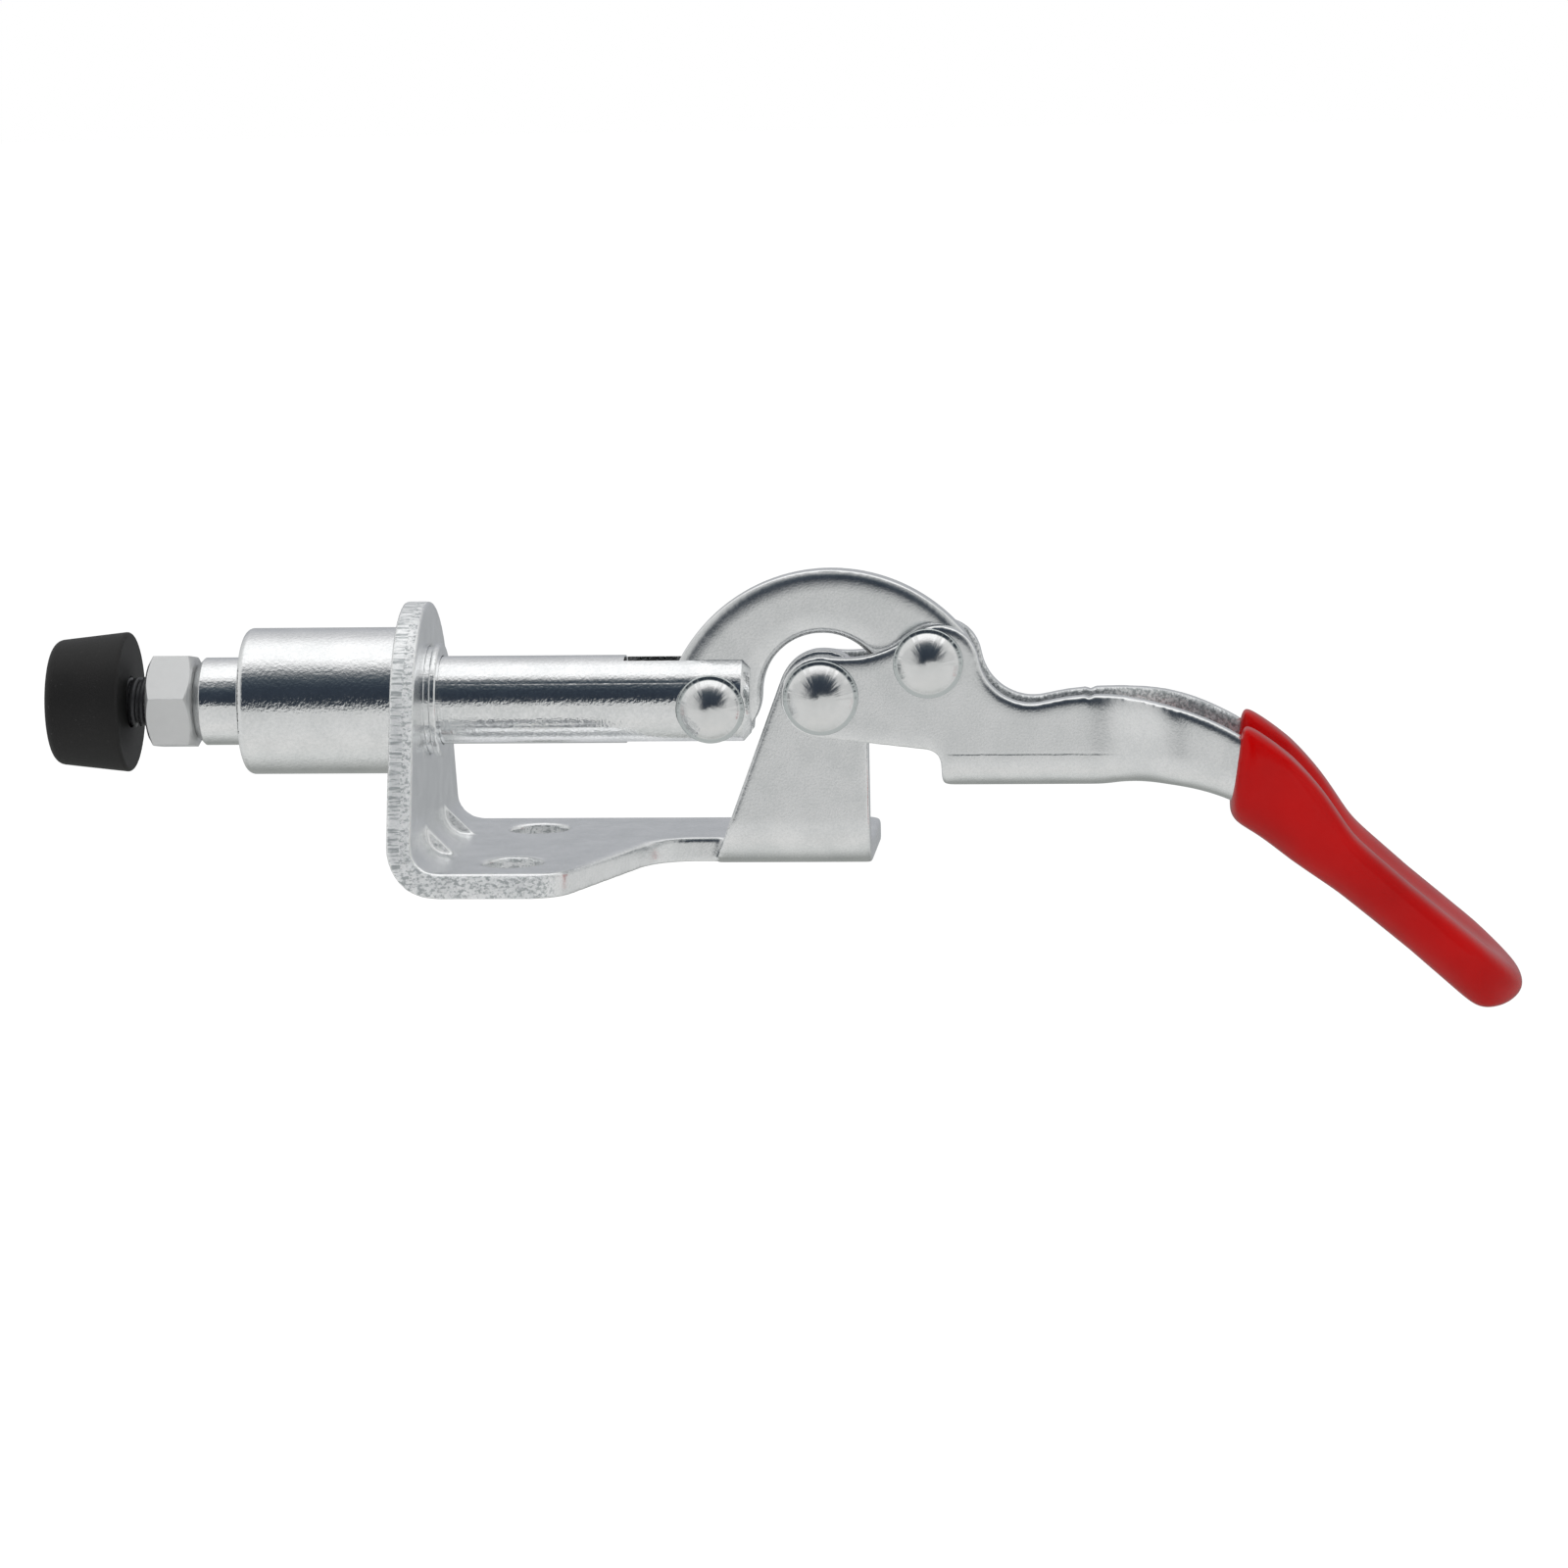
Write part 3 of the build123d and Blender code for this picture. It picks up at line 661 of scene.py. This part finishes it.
def threadTree():  # a square bar swept along a spiral, lying along x
    tree = bpy.data.node_groups.new("screwThread", "GeometryNodeTree")
    kinds = {"Length": "Float", "Pitch": "Float", "Crest": "Float", "Start": "Vector", "Material": "Material"}
    for name, kind in kinds.items():
        tree.interface.new_socket(name, in_out="INPUT", socket_type="NodeSocket" + kind)
    tree.interface.new_socket("Geometry", in_out="OUTPUT", socket_type="NodeSocketGeometry")
    paint = Paint(tree)
    source = paint.node("NodeGroupInput").socket.node
    given = {out.name: Wire(paint, out) for out in source.outputs}
    ridge = given["Pitch"] * 0.5
    radius = given["Crest"] - ridge
    spiral = paint.node("GeometryNodeCurveSpiral", None, {
        "Resolution": threadSizes["turnSteps"],
        "Rotations": given["Length"] / given["Pitch"],
        "Start Radius": radius,
        "End Radius": radius,
        "Height": given["Length"],
    })
    bar = {"Resolution": threadSizes["sides"], "Radius": ridge}
    bar = paint.node("GeometryNodeCurvePrimitiveCircle", None, bar)
    sweep = {"Curve": spiral, "Profile Curve": bar, "Fill Caps": True}
    sweep = paint.node("GeometryNodeCurveToMesh", None, sweep)
    lain = {"Geometry": sweep, "Translation": given["Start"], "Rotation": (0.0, math.pi / 2, 0.0)}
    lain = paint.node("GeometryNodeTransform", None, lain)
    real = paint.node("GeometryNodeRealizeInstances", None, {0: lain})
    done = paint.node("GeometryNodeSetMaterial", None, {"Geometry": real, "Material": given["Material"]})
    paint.node("NodeGroupOutput", None, {0: done})
    return tree


def socketOf(tree, name):
    return next(s.identifier for s in tree.interface.items_tree if s.name == name and s.in_out == "INPUT")


def screwThread(start, length):
    tree = threadTree()
    thread = inScene("screwThread", bpy.data.meshes.new("screwThread"))
    modifier = thread.modifiers.new("thread", "NODES")
    modifier.node_group = tree
    values = {
        "Length": length,
        "Pitch": threadSizes["pitch"] * mm,
        "Crest": threadSizes["crest"] * mm,
        "Start": start,
        "Material": finishes["dark_steel"].owner,
    }
    for name, value in values.items():
        modifier[socketOf(tree, name)] = value
    return makePlain(thread)


def joined(piece, extra):  # the extra mesh becomes part of the piece
    both = bmesh.new()
    both.from_mesh(piece.data)
    both.from_mesh(extra.data)
    both.to_mesh(piece.data)
    both.free()
    bpy.data.objects.remove(extra)
    return piece


def threadedSpindle():
    size = threadSizes
    low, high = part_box("spindle")
    middle = (low.z + high.z) / 2
    shank = size["shank"] * mm
    spindle = mergedCopy("spindle", "threadedSpindle")
    for vertex in spindle.data.vertices:
        across = Vector((0, vertex.co.y, vertex.co.z - middle))
        if across.length < shank:
            across *= size["core"] * mm / shank
            vertex.co.y, vertex.co.z = across.y, middle + across.z
    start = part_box("rubber_tip")[1].x - size["lead"] * mm
    thread = screwThread((start, 0.0, middle), high.x - size["lead"] * mm - start)
    return joined(roundEdges(spindle, size["edge"]), thread)


settle(threadedSpindle(), "spindle")
print("spindle threaded")


# dipped grip
gripSizes = {
    "voxel": 0.16,
    "smoothing": 60,        # passes everywhere
    "softening": 330,       # more passes on the spoon and round the mouth
    "mouthReach": 5.0,
    "softFrom": 57.0,       # x where the spoon's softening starts, mm
    "softTo": 63.0,
    "overlap": 0.15,        # steel core grown into the coat, mm
    "cut": 0.1,             # the core stops this far inside the mouth, mm
    "swell": 0.45,          # extra coat under the mouth, mm
    "swellReach": 8.0,
    "toe": 0.22,            # extra coat at the toe, mm
    "toeFrom": 66.0,        # x where it starts, mm
    "toeReach": 5.0,
    "clear": 0.01,          # kept above the solid's lowest point, mm
}


def grownVertices(piece, amount):  # moves each vertex along its normal by amount(place, normal), in mm
    normals = [v.normal.copy() for v in piece.data.vertices]
    for vertex, normal in zip(piece.data.vertices, normals):
        vertex.co += normal * (amount(vertex.co / mm, normal) * mm)


def mouthPlane(grip):  # the coat's largest face that looks towards the pivots
    faces = [f for f in grip.data.polygons if f.normal.x < -0.8]
    face = max(faces, key=lambda f: f.area)
    return face.center.copy(), face.normal.copy()


def steelCore(place, normal):  # the handle's tail inside the coat
    core = mergedCopy("handle_channel", "steelCore")
    grownVertices(core, lambda at, out: gripSizes["overlap"])
    cut = bmesh.new()
    cut.from_mesh(core.data)
    bmesh.ops.bisect_plane(
        cut, geom=cut.verts[:] + cut.edges[:] + cut.faces[:],
        plane_co=place - normal * gripSizes["cut"] * mm, plane_no=normal, clear_outer=True,
    )
    bmesh.ops.holes_fill(cut, edges=[e for e in cut.edges if e.is_boundary])
    cut.to_mesh(core.data)
    cut.free()
    return core


def dippedGrip():
    size = gripSizes
    grip = mergedCopy("grip", "dippedGrip")
    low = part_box("grip")[0]
    mouth = low.x / mm

    def swell(place, normal):
        near = 1 - clamped((place.x - mouth) / size["swellReach"])
        below = clamped((-normal.z - 0.25) * 2.0)
        return size["swell"] * near * (2 - near) * below

    def toe(place, normal):
        return size["toe"] * clamped((place.x - size["toeFrom"]) / size["toeReach"])

    joined(grip, steelCore(*mouthPlane(grip)))
    softened(grip, size["voxel"], size["smoothing"])
    grownVertices(grip, swell)
    soft = grip.vertex_groups.new(name="soft")
    for vertex in grip.data.vertices:
        spoon = (vertex.co.x / mm - size["softFrom"]) / (size["softTo"] - size["softFrom"])
        lips = 1 - (vertex.co.x / mm - mouth) / size["mouthReach"]
        soft.add([vertex.index], clamped(max(spoon, lips)), "REPLACE")
    addModifier(grip, "SMOOTH", factor=0.5, iterations=size["softening"], vertex_group="soft")
    makePlain(grip)
    grip.vertex_groups.clear()
    grownVertices(grip, toe)
    for vertex in grip.data.vertices:
        vertex.co.z = max(vertex.co.z, low.z + size["clear"] * mm)
    grip.data.shade_smooth()
    return grip


settle(dippedGrip(), "grip")
print("grip dipped")


# studio
floorSizes = {  # the lowered handle's toe stays above it
    "drop": 7.5,        # under the part at rest, mm
    "near": -1.0,       # metres
    "far": 2.5,
    "wide": 2.0,
    "tone": 0.95,
    "glow": 1.06,
    "share": 0.88,      # of glow in what the camera sees
}
camera = {
    "place": (52.506, -369.940, 65.645),  # mm
    "yaw": -5.0897,     # degrees
    "pitch": -9.0653,
    "roll": -1.0605,
    "lens": 115.31,     # mm, on a sensor 36 mm wide
    "sensor": 36.0,
    "nearest": 0.01,    # metres
    "farthest": 20.0,
}
skyLook = {
    "left": (0.10, 0.16),    # how far to the left the dark gap reaches lower
    "lower": 8,              # by so many degrees
    "fade": (30, 8),         # and between these heights over the top
    "beside": (0.34, 0.72),  # the dark gap is narrow, and its sides are pale
    "pale": (0.62, 0.625, 0.62),
    "paleShare": 0.85,
    "strength": 1.12,
}
skyStops = (  # degrees over the top from the camera's side, and what shines there
    (-180, (0.36, 0.37, 0.39)),
    (-150, (0.30, 0.31, 0.30)),
    (-122, (0.27, 0.28, 0.27)),
    (-103, (0.42, 0.43, 0.42)),
    (-86, (0.58, 0.59, 0.58)),
    (-58, (0.63, 0.63, 0.62)),
    (-30, (0.60, 0.605, 0.60)),
    (0, (0.55, 0.555, 0.55)),
    (7, (0.06, 0.07, 0.08)),
    (12, (0.026, 0.033, 0.045)),
    (30, (0.03, 0.04, 0.055)),
    (43, (0.06, 0.075, 0.09)),
    (53, (0.20, 0.21, 0.22)),
    (64, (0.66, 0.66, 0.66)),
    (76, (1.0, 1.0, 1.0)),
    (104, (1.0, 1.0, 1.0)),
    (131, (0.60, 0.60, 0.61)),
    (158, (0.42, 0.43, 0.45)),
    (180, (0.36, 0.37, 0.39)),
)


def studioWorld():
    world = bpy.data.worlds.new("studio")
    bpy.context.scene.world = world
    paint = Paint(world)
    paint.tree.nodes.clear()
    across, along, up = paint.axes(paint.node("ShaderNodeTexCoord", out="Generated"))
    over = up.maths("ARCTAN2", up, along * -1.0) / (2 * math.pi) + 0.5
    lower = paint.smooth(across * -1.0, *skyLook["left"]) * (skyLook["lower"] / 360)
    over = over + lower * paint.smooth(over, *(0.5 + angle / 360 for angle in skyLook["fade"]))
    stops = [(angle / 360 + 0.5, tone) for angle, tone in skyStops]
    sky = paint.node("ShaderNodeValToRGB", {"stops": stops}, {0: over})
    beside = paint.smooth(abs(across), *skyLook["beside"]) * skyLook["paleShare"]
    sky = paint.mix(beside, sky, colour(*skyLook["pale"]))
    dim = paint.node("ShaderNodeBackground", None, {"Color": sky, "Strength": skyLook["strength"]})
    white = paint.node("ShaderNodeBackground", None, {"Color": colour(1, 1, 1), "Strength": 1.0})
    seen = paint.node("ShaderNodeLightPath", out="Is Camera Ray")
    both = paint.node("ShaderNodeMixShader", None, {0: seen, 1: dim, 2: white})
    paint.node("ShaderNodeOutputWorld", None, {"Surface": both})


def studioFloor():
    level = cadBox[0].z - floorSizes["drop"] * mm
    mesh = bpy.data.meshes.new("floor")
    wide, near, far = floorSizes["wide"], floorSizes["near"], floorSizes["far"]
    corners = [(-wide, near, level), (wide, near, level), (wide, far, level), (-wide, far, level)]
    mesh.from_pydata(corners, [], [(0, 1, 2, 3)])
    floor = inScene("floor", mesh)
    paint = Paint(bpy.data.materials.new("paleFloor"))
    paint.tree.nodes.clear()
    tone = colour(*[floorSizes["tone"]] * 3)
    card = paint.node("ShaderNodeBsdfDiffuse", None, {"Color": tone})
    values = {"Color": colour(1, 1, 1), "Strength": floorSizes["glow"]}
    white = paint.node("ShaderNodeEmission", None, values)
    path = paint.node("ShaderNodeLightPath", out="Is Camera Ray")
    rays = {out.name: Wire(paint, out) for out in path.socket.node.outputs}
    seen = rays["Is Camera Ray"] * floorSizes["share"]
    lit = paint.node("ShaderNodeMixShader", None, {0: seen, 1: card, 2: white})
    clear = paint.node("ShaderNodeBsdfTransparent")
    mirrored = rays["Is Glossy Ray"] + rays["Is Transmission Ray"]
    surface = paint.node("ShaderNodeMixShader", None, {0: mirrored, 1: lit, 2: clear})
    paint.node("ShaderNodeOutputMaterial", None, {"Surface": surface})
    mesh.materials.append(paint.owner)


lamps = {  # place in mm, size in mm, power in W
    "keyLamp": {"place": (-60, -260, 330), "size": 260, "power": 0.9},
    "fillLamp": {"place": (200, -330, 60), "size": 300, "power": 0.35},
}


def studioLamp(name, place, size, power):
    light = bpy.data.lights.new(name, "AREA")
    light.shape, light.size, light.energy = "DISK", size * mm, power
    lamp = inScene(name, light)
    middle = (cadBox[0] + cadBox[1]) / 2
    lamp.location = Vector(place) * mm
    lamp.rotation_mode = "QUATERNION"
    lamp.rotation_quaternion = (middle - lamp.location).to_track_quat("-Z", "Y")
    lamp.visible_glossy = False


def studioCamera():
    data = bpy.data.cameras.new("view")
    data.lens, data.sensor_width = camera["lens"], camera["sensor"]
    data.clip_start, data.clip_end = camera["nearest"], camera["farthest"]
    view = inScene("view", data)
    yaw, pitch, roll = (math.radians(camera[k]) for k in ("yaw", "pitch", "roll"))
    ahead = Vector((math.sin(yaw) * math.cos(pitch), math.cos(yaw) * math.cos(pitch), math.sin(pitch)))
    right = ahead.cross(Vector((0, 0, 1))).normalized()
    above = right.cross(ahead)
    side = right * math.cos(roll) + above * math.sin(roll)
    top = above * math.cos(roll) - right * math.sin(roll)
    turn = Matrix((side, top, -ahead)).transposed().to_4x4()
    view.matrix_world = Matrix.Translation(Vector(camera["place"]) * mm) @ turn
    bpy.context.scene.camera = view


studioWorld()
studioFloor()
for name, lamp in lamps.items():
    studioLamp(name, **lamp)
studioCamera()
bpy.context.scene.view_settings.view_transform = "Standard"
print("studio set")

bpy.context.view_layer.update()
